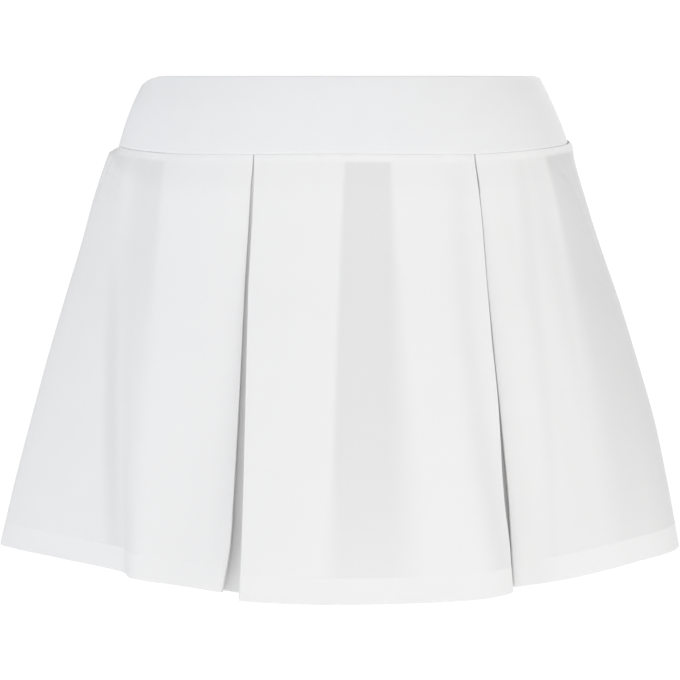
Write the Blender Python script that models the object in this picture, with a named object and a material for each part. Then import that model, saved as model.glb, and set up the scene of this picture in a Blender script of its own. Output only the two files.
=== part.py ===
"""Tennis skirt: a flared skirt with two box pleats in front, sewn to a wide waistband.

The cloth is filled out as it is when worn: a hollow, open at the waist and at the hem.
Sizes are in millimetres. Angles, in degrees, run round the skirt from the front (-Y)
towards +X. A drop is how far a point lies below the highest point of the band. "Out" is
how far cloth stands proud of the smooth section of the skirt at that drop.
"""

import math
from bisect import bisect_right
from collections import namedtuple

import bmesh
import bpy
from mathutils import Vector

MM = 0.001

# Driving sizes. The origin is in the middle of the waistband, half way down it.
BAND_TOP_HEIGHT = 26.0
BAND_WALL = 2.2
CLOTH = 1.2
HEM_TURN_UP = 0.8
HEM_WIDTH_SHARE = 0.06
SEAM_GAP = 0.3
LAYER = 1.7
LAYER_AT_HEM = 3.3
FRONT_TURN = 6.0
SHOULDER_LENGTH = 4.0
BAND_EDGE_ROUNDING = 0.7
FOLD_SWING = 176.0
SEAM_STRAIGHT = 0.6
FRONT_FULLNESS = 0.5
LEFT_FULLNESS = 1.6
RIGHT_FULLNESS = 1.6
FULLNESS_SHARPNESS = 4
LONGEST_MITRE = 2.0
STEEPEST_CLOTH = 1.0
SHARP_EDGE_ANGLE = 40.0
BAND_COLOUR = (0.86, 0.87, 0.89, 1.0)
BAND_ROUGHNESS = 0.7
SKIRT_COLOUR = (0.88, 0.88, 0.89, 1.0)
SKIRT_ROUGHNESS = 0.8

# Sections of the waistband and of the skirt under it: half widths to the viewer's left
# and right, and depths to the front and back, at drops down the outside.
Section = namedtuple("Section", "drop left right front back")
BAND_SECTIONS = (
    Section(0, 133.4, 134.0, 97.0, 101.0),
    Section(3, 134.7, 134.9, 98.2, 102.4),
    Section(8, 137.2, 137.6, 100.0, 104.4),
    Section(18, 142.1, 142.4, 103.4, 108.0),
    Section(31, 147.2, 148.1, 107.4, 112.4),
    Section(40, 150.1, 151.5, 110.0, 115.4),
    Section(50, 153.0, 155.0, 112.6, 118.4),
    Section(64, 157.0, 158.5, 116.0, 122.5),
)
SKIRT_SECTIONS = (
    Section(41, 153.6, 154.2, 112.5, 115.4),
    Section(46, 155.8, 155.5, 113.4, 117.0),
    Section(57, 160.6, 157.8, 115.3, 121.0),
    Section(84, 170.0, 165.8, 119.5, 130.0),
    Section(112, 178.0, 174.5, 123.0, 138.0),
    Section(152, 190.3, 188.6, 126.0, 147.0),
    Section(194, 203.0, 201.7, 128.0, 154.0),
    Section(235, 214.5, 213.7, 129.5, 160.0),
    Section(277, 225.7, 223.0, 131.0, 166.0),
    Section(305, 232.5, 228.3, 131.7, 170.0),
    Section(337, 239.5, 233.6, 132.0, 174.0),
)

# Drops of the band's top edge, of the waist seam and of the hem, round the skirt.
Level = namedtuple("Level", "angle drop")
BAND_TOP = (
    Level(-180, 15.0),
    Level(-135, 13.8),
    Level(-110, 12.4),
    Level(-98, 10.6),
    Level(-90, 8.1),
    Level(-82, 5.0),
    Level(-75, 2.4),
    Level(-66, 0.3),
    Level(-58, 0.0),
    Level(72, 0.0),
    Level(82, 1.0),
    Level(96, 2.2),
    Level(112, 5.0),
    Level(140, 11.0),
    Level(180, 15.0),
)
WAIST_SEAM = (
    Level(-180, 63.0),
    Level(-168, 62.7),
    Level(-130, 59.0),
    Level(-100, 51.0),
    Level(-84, 47.6),
    Level(-66, 49.1),
    Level(-42, 51.0),
    Level(-25, 50.8),
    Level(0, 50.0),
    Level(28, 50.8),
    Level(42, 50.1),
    Level(63, 47.6),
    Level(84, 45.4),
    Level(98, 44.5),
    Level(112, 46.7),
    Level(126, 51.4),
    Level(142, 57.2),
    Level(166, 62.3),
    Level(180, 63.0),
)
HEM = (
    Level(-180, 329.0),
    Level(-130, 325.0),
    Level(-82, 320.5),
    Level(-66, 320.9),
    Level(-52, 322.3),
    Level(-44, 323.8),
    Level(-37, 325.8),
    Level(-30, 328.4),
    Level(-22, 331.6),
    Level(-13, 335.0),
    Level(7, 337.6),
    Level(27, 334.9),
    Level(37, 331.6),
    Level(45, 328.4),
    Level(52, 325.8),
    Level(59, 323.8),
    Level(67, 322.3),
    Level(82, 320.8),
    Level(98, 320.5),
    Level(140, 325.0),
    Level(180, 329.0),
)

# Side seams, as angles from the centre front line, which the turn then carries round.
Seam = namedtuple("Seam", "drop angle")
SIDE_SEAMS = (
    Seam(0, 81.0),
    Seam(51, 82.0),
    Seam(108, 91.0),
    Seam(200, 95.0),
    Seam(336, 98.0),
)

# Sideways places of the four pressed pleat edges down the skirt, and of the four folds
# inside the pleats where the returns meet their underlays.
PleatEdges = namedtuple("PleatEdges", "drop left_side left_centre right_centre right_side")
PLEAT_EDGES = (
    PleatEdges(51, -59.3, -57.4, 86.6, 87.6),
    PleatEdges(95, -61.1, -59.1, 90.7, 91.6),
    PleatEdges(130, -63.2, -61.1, 93.3, 94.1),
    PleatEdges(170, -65.2, -62.1, 96.9, 97.9),
    PleatEdges(211, -67.7, -63.2, 100.9, 102.3),
    PleatEdges(270, -71.4, -64.6, 105.1, 108.1),
    PleatEdges(306, -74.1, -66.2, 109.6, 111.6),
    PleatEdges(336, -79.2, -67.7, 111.9, 113.2),
)
InnerFolds = namedtuple("InnerFolds", "drop left_outer left_inner right_inner right_outer")
INNER_FOLDS = (
    InnerFolds(51, -116.5, 1.6, 33.6, 133.0),
    InnerFolds(95, -120.0, -0.5, 35.0, 143.0),
    InnerFolds(170, -126.0, -3.5, 38.0, 156.0),
    InnerFolds(235, -131.0, -5.5, 40.5, 166.0),
    InnerFolds(336, -134.5, -8.0, 43.0, 176.0),
)

# Soft folds of each face. "Across" is the share of the way over the piece at its top and
# at its hem, and the outs are at half height and at the hem. Every face is smooth on top.
Fold = namedtuple("Fold", "top_across hem_across half_out hem_out")
FoldNow = namedtuple("FoldNow", "across out")
CENTRE_FOLDS = (
    Fold(0.00, 0.00, 7.6, 22.4),
    Fold(0.20, 0.20, 7.6, 19.8),
    Fold(0.36, 0.36, 7.0, 15.8),
    Fold(0.50, 0.50, 6.0, 12.0),
    Fold(0.65, 0.65, 5.8, 12.2),
    Fold(0.78, 0.78, 5.8, 13.0),
    Fold(0.86, 0.85, 5.6, 12.6),
    Fold(0.92, 0.91, 5.2, 10.4),
    Fold(0.96, 0.955, 4.7, 6.8),
    Fold(1.00, 1.00, 4.0, 1.5),
)
LEFT_FOLDS = (
    Fold(0.00, 0.00, 1.0, 3.0),
    Fold(0.25, 0.10, 0.5, 1.0),
    Fold(0.42, 0.18, 1.0, 3.6),
    Fold(0.47, 0.225, 1.0, 3.2),
    Fold(0.51, 0.265, -1.0, -7.5),
    Fold(0.56, 0.32, -2.5, -12.0),
    Fold(0.62, 0.40, -3.0, -14.0),
    Fold(0.72, 0.58, -3.5, -14.5),
    Fold(0.80, 0.70, -3.0, -11.0),
    Fold(0.88, 0.82, -1.5, -6.0),
    Fold(0.95, 0.92, 0.0, -1.0),
    Fold(0.98, 0.98, 0.0, 0.0),
    Fold(1.00, 1.00, 0.0, 0.0),
)
RIGHT_FOLDS = (
    Fold(0.00, 0.00, -3.0, -14.4),
    Fold(0.10, 0.06, -2.6, -9.5),
    Fold(0.25, 0.16, -2.2, -6.5),
    Fold(0.45, 0.30, -2.0, -5.6),
    Fold(0.60, 0.42, -1.5, -5.0),
    Fold(0.70, 0.52, -0.5, -2.2),
    Fold(0.80, 0.66, 0.0, 0.6),
    Fold(0.90, 0.83, 0.0, 0.0),
    Fold(0.98, 0.98, 0.0, 0.0),
    Fold(1.00, 1.00, 0.0, 0.0),
)
BACK_FOLDS = (
    Fold(0.00, 0.00, 0.0, 0.0),
    Fold(0.01, 0.01, 0.0, 0.0),
    Fold(0.08, 0.09, -1.0, -5.0),
    Fold(0.19, 0.18, 1.5, 7.0),
    Fold(0.30, 0.28, -2.5, -8.0),
    Fold(0.40, 0.39, 2.0, 8.0),
    Fold(0.50, 0.51, -2.0, -6.0),
    Fold(0.60, 0.62, 2.5, 9.0),
    Fold(0.71, 0.73, -2.5, -8.5),
    Fold(0.82, 0.83, 1.5, 6.0),
    Fold(0.92, 0.92, -0.5, -4.0),
    Fold(0.99, 0.99, 0.0, 0.0),
    Fold(1.00, 1.00, 0.0, 0.0),
)

# The underlays, from the viewer's left to right, and the inner ends of the returns. These
# outs are of the middle of the cloth, and start from the layers' places at the top.
Layered = namedtuple("Layered", "across half_out hem_out")
LEFT_UNDERLAY = (
    Layered(0.00, -3.8, -3.0),
    Layered(0.25, -4.8, -7.0),
    Layered(0.50, -5.6, -10.4),
    Layered(0.75, -3.0, -3.0),
    Layered(1.00, 1.0, 8.0),
)
RIGHT_UNDERLAY = (
    Layered(0.00, -1.8, -5.2),
    Layered(0.25, -6.0, -14.0),
    Layered(0.50, -9.2, -23.0),
    Layered(0.75, -8.0, -18.0),
    Layered(1.00, -6.6, -12.6),
)
ReturnEnd = namedtuple("ReturnEnd", "half_out hem_out")
LEFT_SIDE_RETURN = ReturnEnd(-1.8, -0.9)
LEFT_CENTRE_RETURN = ReturnEnd(2.9, 10.2)
RIGHT_CENTRE_RETURN = ReturnEnd(0.1, -3.1)
RIGHT_SIDE_RETURN = ReturnEnd(-4.8, -10.5)

# How finely the cloth is divided: shares of the way down, and steps between two folds.
BAND_SHARES = (0.0, 0.015, 0.16, 0.33, 0.5, 0.66, 0.83, 1.0)
SKIRT_SHARES = (
    0.0, 0.007, 0.014, 0.07, 0.17, 0.29, 0.41, 0.54, 0.67, 0.79, 0.89, 0.938, 0.942, 1.0,
)
CENTRE_COLUMNS = 22
SIDE_COLUMNS = 26
BACK_COLUMNS = 40
LAYER_COLUMNS = 12
RETURN_STEPS = 6
EDGE_STEPS = 4
BAND_COLUMNS = 34


def read(table, at, column):
    """Value of one column between the rows of a table, on a smooth curve through them."""
    keys = [row[0] for row in table]
    values = [getattr(row, column) for row in table]
    if at <= keys[0]:
        return values[0]
    if at >= keys[-1]:
        return values[-1]
    low = bisect_right(keys, at) - 1
    before, after = max(low - 1, 0), min(low + 2, len(keys) - 1)
    step = keys[low + 1] - keys[low]
    rise_low = step * (values[low + 1] - values[before]) / (keys[low + 1] - keys[before])
    rise_high = step * (values[after] - values[low]) / (keys[after] - keys[low])
    part = (at - keys[low]) / step
    back = 1.0 - part
    return (
        values[low] * back * back * (1.0 + 2.0 * part)
        + values[low + 1] * part * part * (3.0 - 2.0 * part)
        + rise_low * part * back * back
        - rise_high * part * part * back
    )


def mix(low, high, share):
    """Straight-line value between two values."""
    return low + (high - low) * share


def ease(share):
    """Smooth step from 0 to 1."""
    share = min(max(share, 0.0), 1.0)
    return share * share * (3.0 - 2.0 * share)


def opening(top, half, hem, share):
    """Value down the skirt that runs smoothly through its top, half-height and hem values."""
    bend = 2.0 * (top + hem - 2.0 * half)
    return top + (hem - top - bend) * share + bend * share * share


def wrapped(angle):
    """The same angle between -180 and 180 degrees."""
    return (angle + 180.0) % 360.0 - 180.0


def section_at(sections, angle, drop):
    """Point on the smooth section and the direction straight out from it."""
    angle = wrapped(angle)
    turn = math.radians(angle)
    across = read(sections, drop, "left" if angle < 0.0 else "right")
    deep = read(sections, drop, "front" if abs(angle) < 90.0 else "back")
    place = Vector((across * math.sin(turn), -deep * math.cos(turn)))
    out = Vector((math.sin(turn) / across, -math.cos(turn) / deep))
    return place, out.normalized()


def spot(angle, drop, out, sections=SKIRT_SECTIONS):
    """Plan point that stands proud of the section by out."""
    place, outward = section_at(sections, angle, drop)
    return place + outward * out


def angle_at(sideways, drop, out):
    """Angle of the front point that lies at a sideways place and stands proud by out."""
    half = read(SKIRT_SECTIONS, drop, "left" if sideways < 0.0 else "right")
    angle = math.degrees(math.asin(sideways / half))
    for _ in range(4):
        _, outward = section_at(SKIRT_SECTIONS, angle, drop)
        angle = math.degrees(math.asin((sideways - outward.x * out) / half))
    return angle


def pace(sections, angle, drop):
    """Millimetres along the section for one degree of angle."""
    return (spot(angle + 0.5, drop, 0.0, sections) - spot(angle - 0.5, drop, 0.0, sections)).length


def side_seam(drop, side):
    """Angle of a side seam at a drop; side is -1 for the viewer's left and 1 for the right."""
    return side * read(SIDE_SEAMS, drop, "angle") + FRONT_TURN


def drop_at(angle, share):
    """Drop of a point of the skirt, by its share of the way from the waist seam to the hem."""
    top = read(WAIST_SEAM, wrapped(angle), "drop") + SEAM_GAP
    return mix(top, read(HEM, wrapped(angle), "drop"), share)


def shoulder(angle, drop, share):
    """How far the skirt is drawn in under the band; most at the sides, where it is full."""
    below = share * (read(HEM, wrapped(angle), "drop") - read(WAIST_SEAM, wrapped(angle), "drop"))
    side = math.sin(math.radians(wrapped(angle))) ** FULLNESS_SHARPNESS
    fullness = mix(FRONT_FULLNESS, LEFT_FULLNESS if wrapped(angle) < 0.0 else RIGHT_FULLNESS, side)
    return fullness * (1.0 - ease(below / SHOULDER_LENGTH))


def layer_distance(share):
    """Distance between the middles of two layers that are pressed wrong side to wrong side."""
    start = 1.0 - 2.0 * HEM_WIDTH_SHARE
    return mix(LAYER, LAYER_AT_HEM, ease((share - start) / (1.0 - HEM_WIDTH_SHARE - start)))


def wrong_side(share):
    """Distance from the middle of the cloth to its wrong side, thicker in the turned-up hem."""
    return CLOTH / 2.0 + (HEM_TURN_UP if share > 1.0 - HEM_WIDTH_SHARE else 0.0)


def face_line(folds, first, last, share, columns):
    """Angles and outs of the middle of a face's cloth, from its first angle to its last."""
    now = [
        FoldNow(
            mix(fold.top_across, fold.hem_across, share),
            opening(0.0, fold.half_out, fold.hem_out, share),
        )
        for fold in folds
    ]
    places = [0.0]
    for fold, following, low, high in zip(folds, folds[1:], now, now[1:]):
        steps = max(1, round(columns * (following.hem_across - fold.hem_across)))
        places += [mix(low.across, high.across, (step + 1) / steps) for step in range(steps)]
    return [(mix(first, last, at), read(now, at, "out") - CLOTH / 2.0) for at in places]


def hung(line, share):
    """Points in space of a line of angles and outs, at one share of the way down."""
    points = []
    for angle, out in line:
        drop = drop_at(angle, share)
        place = spot(angle, drop, out - shoulder(angle, drop, share))
        points.append(Vector((place.x, place.y, BAND_TOP_HEIGHT - drop)))
    return points


def pressed_fold(end, before, share, side):
    """Round points of a pressed edge that goes on from a face's end and turns back inwards."""
    heading = (end - before).to_2d().normalized()
    inward = Vector((-heading.y, heading.x)) * side
    radius = layer_distance(share) / 2.0
    points = []
    for step in range(1, EDGE_STEPS + 1):
        swing = math.radians(FOLD_SWING) * step / EDGE_STEPS
        place = end.to_2d() + heading * radius * math.sin(swing)
        place += inward * radius * (1.0 - math.cos(swing))
        points.append(Vector((place.x, place.y, end.z)))
    return points


def located(point, drop):
    """Angle and out of a plan point in the front half of the skirt."""
    out = 0.0
    for _ in range(5):
        angle = angle_at(point.x, drop, out)
        place, outward = section_at(SKIRT_SECTIONS, angle, drop)
        out = (point.to_2d() - place).dot(outward)
    return angle, out


def return_line(start, share, inner_sideways, ending):
    """Points of a pleat return, from the pressed fold to its inner end behind the face."""
    drop = BAND_TOP_HEIGHT - start.z
    first_angle, first_out = located(start, drop)
    first_out += shoulder(first_angle, drop, share)
    top_out = -CLOTH / 2.0 - LAYER
    last_out = opening(top_out, ending.half_out, ending.hem_out, share)
    last_angle = angle_at(inner_sideways, drop, last_out)
    shares = [(step + 1) / RETURN_STEPS for step in range(RETURN_STEPS)]
    line = [(mix(first_angle, last_angle, at), mix(first_out, last_out, at)) for at in shares]
    return hung(line, share)


def edge_angle(column, share, edge):
    """Angle where a face stops, so that its pressed edge reaches the tabled place."""
    angle = FRONT_TURN
    out = opening(0.0, edge.half_out, edge.hem_out, share)
    reach = layer_distance(share) / 2.0 + CLOTH / 2.0
    for _ in range(4):
        drop = drop_at(angle, share)
        sideways = read(PLEAT_EDGES, drop, column)
        toward_face = 1.0 if column in ("left_centre", "right_side") else -1.0
        angle = angle_at(sideways + toward_face * reach, drop, out)
    return angle


def fold_place(column, share):
    """Sideways place of an inner fold at one share of the way down."""
    return read(INNER_FOLDS, drop_at(FRONT_TURN, share), column)


def centre_line(share):
    """Middle of the centre panel's cloth: left return, face, right return."""
    first = edge_angle("left_centre", share, CENTRE_FOLDS[0])
    last = edge_angle("right_centre", share, CENTRE_FOLDS[-1])
    face = hung(face_line(CENTRE_FOLDS, first, last, share, CENTRE_COLUMNS), share)
    left_fold = pressed_fold(face[0], face[1], share, -1)
    right_fold = pressed_fold(face[-1], face[-2], share, 1)
    left_inner, right_inner = fold_place("left_inner", share), fold_place("right_inner", share)
    left = return_line(left_fold[-1], share, left_inner, LEFT_CENTRE_RETURN)
    right = return_line(right_fold[-1], share, right_inner, RIGHT_CENTRE_RETURN)
    return left[::-1] + left_fold[::-1] + face + right_fold + right


def left_line(share):
    """Middle of the left front panel's cloth, from the side seam to the return's inner end."""
    last = edge_angle("left_side", share, LEFT_FOLDS[0])
    first = seam_side(-1, share, 1)
    face = hung(face_line(LEFT_FOLDS, last, first, share, SIDE_COLUMNS), share)[::-1]
    fold = pressed_fold(face[-1], face[-2], share, 1)
    inner = fold_place("left_outer", share)
    return face + fold + return_line(fold[-1], share, inner, LEFT_SIDE_RETURN)


def right_line(share):
    """Middle of the right front panel's cloth, from the return's inner end to the side seam."""
    first = edge_angle("right_side", share, RIGHT_FOLDS[0])
    last = seam_side(1, share, -1)
    face = hung(face_line(RIGHT_FOLDS, first, last, share, SIDE_COLUMNS), share)
    fold = pressed_fold(face[0], face[1], share, -1)
    inner = fold_place("right_outer", share)
    back = return_line(fold[-1], share, inner, RIGHT_SIDE_RETURN)
    return back[::-1] + fold[::-1] + face


def seam_side(side, share, into):
    """Angle of the cut edge beside a side seam; into is the way from the seam to the cloth."""
    angle = side_seam(0.0, side)
    for _ in range(4):
        angle = side_seam(drop_at(angle, share), side)
    drop = drop_at(angle, share)
    return angle + into * SEAM_GAP / 2.0 / pace(SKIRT_SECTIONS, angle, drop)


def back_line(share):
    """Middle of the back panel's cloth, from the right side seam round to the left one."""
    first = seam_side(1, share, 1)
    last = seam_side(-1, share, -1) + 360.0
    return hung(face_line(BACK_FOLDS, first, last, share, BACK_COLUMNS), share)


def underlay_line(layers, first_column, last_column, share):
    """Middle of an underlay's cloth, between the two inner folds of its pleat."""
    top_out = -CLOTH / 2.0 - 2.0 * LAYER
    ends = []
    for column, row in ((first_column, layers[0]), (last_column, layers[-1])):
        out = opening(top_out, row.half_out, row.hem_out, share)
        angle = FRONT_TURN
        for _ in range(3):
            angle = angle_at(fold_place(column, share), drop_at(angle, share), out)
        ends.append(angle)
    line = []
    for step in range(LAYER_COLUMNS + 1):
        across = step / LAYER_COLUMNS
        half = read(layers, across, "half_out")
        hem = read(layers, across, "hem_out")
        line.append((mix(ends[0], ends[1], across), opening(top_out, half, hem, share)))
    return hung(line, share)


def band_line(first, last, share):
    """Middle of a waistband piece between two angles, at one share of the way down."""
    steps = range(1, BAND_COLUMNS)
    angles = [first, first + SEAM_STRAIGHT]
    angles += [mix(first, last, step / BAND_COLUMNS) for step in steps]
    angles += [last - SEAM_STRAIGHT, last]
    points = []
    for angle in angles:
        top = read(BAND_TOP, wrapped(angle), "drop")
        drop = mix(top, read(WAIST_SEAM, wrapped(angle), "drop"), share)
        place = spot(angle, drop, -BAND_WALL / 2.0, BAND_SECTIONS)
        points.append(Vector((place.x, place.y, BAND_TOP_HEIGHT - drop)))
    return points


def across_cloth(lines, row, column):
    """Level direction from the middle of the cloth to its right side, grown for its slope."""
    line = lines[row]
    here = line[column].to_2d()
    ahead = line[min(column + 1, len(line) - 1)].to_2d() - here
    behind = here - line[max(column - 1, 0)].to_2d()
    ways = [way.normalized() for way in (behind, ahead) if way.length > 0.0]
    along = sum(ways, Vector((0.0, 0.0))).normalized()
    mitre = min(1.0 / along.dot(ways[0]), LONGEST_MITRE)
    outward = Vector((along.y, -along.x))
    above, below = lines[max(row - 1, 0)][column], lines[min(row + 1, len(lines) - 1)][column]
    slope = (below - above).to_2d().dot(outward) / (above.z - below.z)
    return outward * mitre * math.hypot(1.0, min(abs(slope), STEEPEST_CLOTH))


def sew(name, lines, right_sides, wrong_sides, finish):
    """Makes a closed wall of cloth on rows of middle points, the top row first."""
    rows, columns = len(lines), len(lines[0])
    cloth = bmesh.new()
    bmesh.ops.create_grid(cloth, x_segments=columns - 1, y_segments=rows - 1, size=1.0)
    copied = bmesh.ops.extrude_face_region(cloth, geom=cloth.faces[:], use_keep_orig=True)
    inner = {part for part in copied["geom"] if isinstance(part, bmesh.types.BMVert)}
    for vertex in cloth.verts:
        column = round((vertex.co.x + 1.0) / 2.0 * (columns - 1))
        row = round((1.0 - vertex.co.y) / 2.0 * (rows - 1))
        sideways = across_cloth(lines, row, column)
        shift = -wrong_sides[row] if vertex in inner else right_sides[row]
        middle = lines[row][column]
        flat = middle.to_2d() + sideways * shift
        vertex.co = Vector((flat.x, flat.y, middle.z)) * MM
    bmesh.ops.recalc_face_normals(cloth, faces=cloth.faces[:])
    mesh = bpy.data.meshes.new(name)
    cloth.to_mesh(mesh)
    cloth.free()
    mesh.shade_smooth()
    mesh.set_sharp_from_angle(angle=math.radians(SHARP_EDGE_ANGLE))
    piece = bpy.data.objects.new(name, mesh)
    piece.data.materials.append(finish)
    bpy.context.scene.collection.objects.link(piece)
    return piece


def cloth_finish(name, colour, roughness):
    """White sports cloth; the band's knit is a little smoother than the skirt's weave."""
    finish = bpy.data.materials.new(name)
    finish.use_nodes = True
    shader = finish.node_tree.nodes["Principled BSDF"]
    shader.inputs["Base Color"].default_value = colour
    shader.inputs["Roughness"].default_value = roughness
    shader.inputs["Metallic"].default_value = 0.0
    return finish


def make_band():
    """The two halves of the waistband, which meet at the side seams."""
    finish = cloth_finish("band_knit", BAND_COLOUR, BAND_ROUGHNESS)
    left, right = side_seam(BAND_TOP_HEIGHT, -1), side_seam(BAND_TOP_HEIGHT, 1)
    gap = SEAM_GAP / 2.0 / pace(BAND_SECTIONS, right, BAND_TOP_HEIGHT)
    spans = {
        "waistband_front": (left + gap, right - gap),
        "waistband_back": (right + gap, left + 360.0 - gap),
    }
    half = BAND_WALL / 2.0
    walls = [half - BAND_EDGE_ROUNDING] + [half] * (len(BAND_SHARES) - 1)
    for name, (first, last) in spans.items():
        lines = [band_line(first, last, share) for share in BAND_SHARES]
        sew(name, lines, walls, walls, finish)


def make_skirt():
    """The panels, the underlays of the two pleats and the back."""
    finish = cloth_finish("skirt_weave", SKIRT_COLOUR, SKIRT_ROUGHNESS)
    pieces = {
        "centre_front_panel": centre_line,
        "left_front_panel": left_line,
        "right_front_panel": right_line,
        "left_pleat_underlay": lambda share: underlay_line(
            LEFT_UNDERLAY, "left_outer", "left_inner", share
        ),
        "right_pleat_underlay": lambda share: underlay_line(
            RIGHT_UNDERLAY, "right_inner", "right_outer", share
        ),
        "back_panel": back_line,
    }
    right_sides = [CLOTH / 2.0] * len(SKIRT_SHARES)
    wrong_sides = [wrong_side(share) for share in SKIRT_SHARES]
    for name, line in pieces.items():
        sew(name, [line(share) for share in SKIRT_SHARES], right_sides, wrong_sides, finish)


for existing in list(bpy.data.objects):
    bpy.data.objects.remove(existing, do_unlink=True)
make_band()
make_skirt()
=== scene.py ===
import math
from collections import namedtuple

import bmesh
import bpy
import numpy as np
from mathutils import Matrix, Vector


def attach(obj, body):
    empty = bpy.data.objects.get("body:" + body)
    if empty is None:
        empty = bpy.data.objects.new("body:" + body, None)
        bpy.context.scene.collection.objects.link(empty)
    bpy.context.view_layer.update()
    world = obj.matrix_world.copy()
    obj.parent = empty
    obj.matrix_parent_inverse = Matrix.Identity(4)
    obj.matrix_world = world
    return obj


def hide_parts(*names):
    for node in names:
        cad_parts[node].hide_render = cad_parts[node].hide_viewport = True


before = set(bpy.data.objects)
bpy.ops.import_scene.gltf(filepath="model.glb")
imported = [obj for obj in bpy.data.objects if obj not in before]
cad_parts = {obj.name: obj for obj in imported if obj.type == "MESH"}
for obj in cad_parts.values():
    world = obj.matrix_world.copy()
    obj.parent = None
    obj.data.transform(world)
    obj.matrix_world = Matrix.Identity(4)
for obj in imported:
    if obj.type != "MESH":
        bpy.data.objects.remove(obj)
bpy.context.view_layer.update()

# ---------------------------------------------------------------------------------------
# The studio. A plain pale floor lies a metre under the waist, where a wearer would stand,
# in a white surround. Broad soft boxes and a dim even sky light the cloth.
CAMERA_PLACE = (-0.0017, -2.0, 0.026)
CAMERA_PITCH = 84.85
CAMERA_LENS = 155.08
CAMERA_SENSOR = 36.0
CAMERA_REACH = 40.0
WHITE = (1.0, 1.0, 1.0)
SKY_STRENGTH = 0.4
LIGHT_AIM = Vector((0.0, 0.0, -0.15))
GLOW_STRENGTH = 1.05
SURROUND_RADIUS = 9.0
SURROUND_SUBDIVISIONS = 4
FLOOR_DROP = 1.0
FLOOR_RADIUS = 1.3
FLOOR_SEGMENTS = 96
FLOOR_COLOUR = (0.9, 0.9, 0.9, 1.0)


class Value:
    """A node's output that takes part in sums as a number does."""

    def __init__(self, finish, socket):
        self.finish, self.socket = finish, socket

    def work_out(self, operation, *values):
        return self.finish.node(
            "ShaderNodeMath", {"operation": operation}, dict(enumerate(values))
        )

    def __add__(self, other):
        return self.work_out("ADD", self, other)

    def __sub__(self, other):
        return self.work_out("SUBTRACT", self, other)

    def __rsub__(self, other):
        return self.work_out("SUBTRACT", other, self)

    def __mul__(self, other):
        return self.work_out("MULTIPLY", self, other)

    __radd__, __rmul__ = __add__, __mul__

    def wave(self):
        """A wave with one crest for each whole number of this value."""
        return self.work_out("SINE", self * math.tau)


class Finish:
    """A material or a world whose nodes are under way."""

    def __init__(self, owner):
        owner.use_nodes = True
        self.owner, self.tree = owner, owner.node_tree
        self.tree.nodes.clear()

    def node(self, kind, settings=None, inputs=None, output=0):
        """Adds a node with its settings, and then its sockets' values or links."""
        made = self.tree.nodes.new(kind)
        for name, value in (settings or {}).items():
            setattr(made, name, value)
        for name, value in (inputs or {}).items():
            if isinstance(value, Value):
                self.tree.links.new(value.socket, made.inputs[name])
            else:
                made.inputs[name].default_value = value
        return Value(self, made.outputs[output] if made.outputs else None)


def link(thing):
    """Puts a new object in the scene."""
    bpy.context.scene.collection.objects.link(thing)
    return thing


def made_of(name, shape):
    """A new object in the scene, made of a finished bmesh."""
    thing = link(bpy.data.objects.new(name, bpy.data.meshes.new(name)))
    shape.to_mesh(thing.data)
    shape.free()
    return thing


def glow(finish):
    """A white that shines by itself, and so stays white in any light."""
    return finish.node("ShaderNodeEmission", {}, {"Color": (*WHITE, 1.0), "Strength": GLOW_STRENGTH})


camera = link(bpy.data.objects.new("camera", bpy.data.cameras.new("camera")))
camera.location = CAMERA_PLACE
camera.rotation_euler = (math.radians(CAMERA_PITCH), 0.0, 0.0)
camera.data.lens = CAMERA_LENS
camera.data.sensor_width = CAMERA_SENSOR
camera.data.clip_end = CAMERA_REACH
bpy.context.scene.camera = camera
bpy.context.scene.view_settings.view_transform = "Standard"

sky = Finish(bpy.data.worlds.new("sky"))
bpy.context.scene.world = sky.owner
sky_light = sky.node(
    "ShaderNodeBackground", {}, {"Color": (*WHITE, 1.0), "Strength": SKY_STRENGTH}
)
sky.node("ShaderNodeOutputWorld", {}, {"Surface": sky_light})

SoftBox = namedtuple("SoftBox", "name turn distance height size power colour")
SOFT_BOXES = (
    SoftBox("front_box", -4, 3.0, 0.5, 2.2, 25.0, (1.0, 0.998, 0.994)),
    SoftBox("left_box", -60, 2.4, 0.05, 2.0, 22.0, (0.925, 0.953, 1.0)),
    SoftBox("right_box", 60, 2.6, -0.25, 2.2, 29.5, WHITE),
    SoftBox("back_box", 156, 2.6, 1.0, 1.2, 30.0, WHITE),
    SoftBox("back_left_box", -132, 2.6, 0.4, 1.2, 8.0, WHITE),
)
for box in SOFT_BOXES:
    lamp = bpy.data.lights.new(box.name, "AREA")
    lamp.shape, lamp.size, lamp.energy, lamp.color = "SQUARE", box.size, box.power, box.colour
    lamp = link(bpy.data.objects.new(box.name, lamp))
    turn = math.radians(box.turn)
    lamp.location = (box.distance * math.sin(turn), -box.distance * math.cos(turn), box.height)
    lamp.rotation_euler = (LIGHT_AIM - lamp.location).to_track_quat("-Z", "Y").to_euler()

ball = bmesh.new()
bmesh.ops.create_icosphere(ball, subdivisions=SURROUND_SUBDIVISIONS, radius=SURROUND_RADIUS)
bmesh.ops.reverse_faces(ball, faces=ball.faces[:])
surround = made_of("surround", ball)
surround.visible_diffuse = surround.visible_glossy = False
surround.visible_transmission = surround.visible_shadow = False
surround_finish = Finish(bpy.data.materials.new("surround_white"))
surround_finish.node("ShaderNodeOutputMaterial", {}, {"Surface": glow(surround_finish)})
surround.data.materials.append(surround_finish.owner)

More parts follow.
